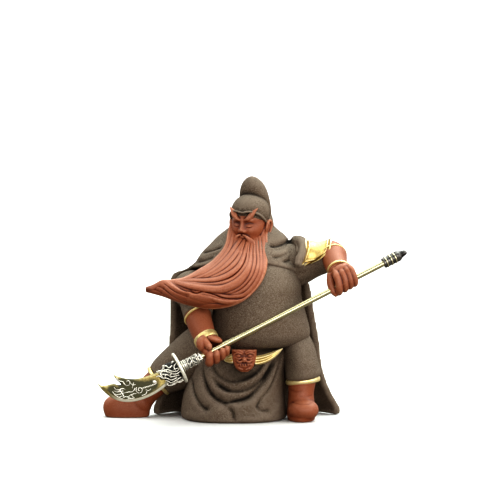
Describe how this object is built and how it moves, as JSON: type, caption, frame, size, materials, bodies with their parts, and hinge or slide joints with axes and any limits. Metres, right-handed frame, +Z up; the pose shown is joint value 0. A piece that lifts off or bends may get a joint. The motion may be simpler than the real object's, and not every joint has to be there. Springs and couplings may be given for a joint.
{
  "type": "ceramic warrior god statue",
  "caption": "Stout bearded warrior god in cape and tall crested cap, striding wide on a broad base and holding a crescent-bladed polearm across the body.",
  "frame": {"origin": "centre of the bounding box, on the surface that the statue stands on", "axes": "+X to the viewer's right along the polearm's spread, -Y towards the viewer, +Z up"},
  "size_m": [0.2507, 0.1281, 0.1998],
  "materials": {
    "clay": "fine sandy fired clay, unglazed, with red-brown clay skin and gilt trims",
    "antique_silver": "cast, antiqued silver tone with brass edges",
    "pale_brass": "polished rod",
    "gunmetal": "dark plated, glossy"
  },
  "bodies": {
    "root": {"figure": "clay", "blade_head": "antique_silver", "shaft": "pale_brass", "butt_spike": "gunmetal"}
  },
  "joints": []
}
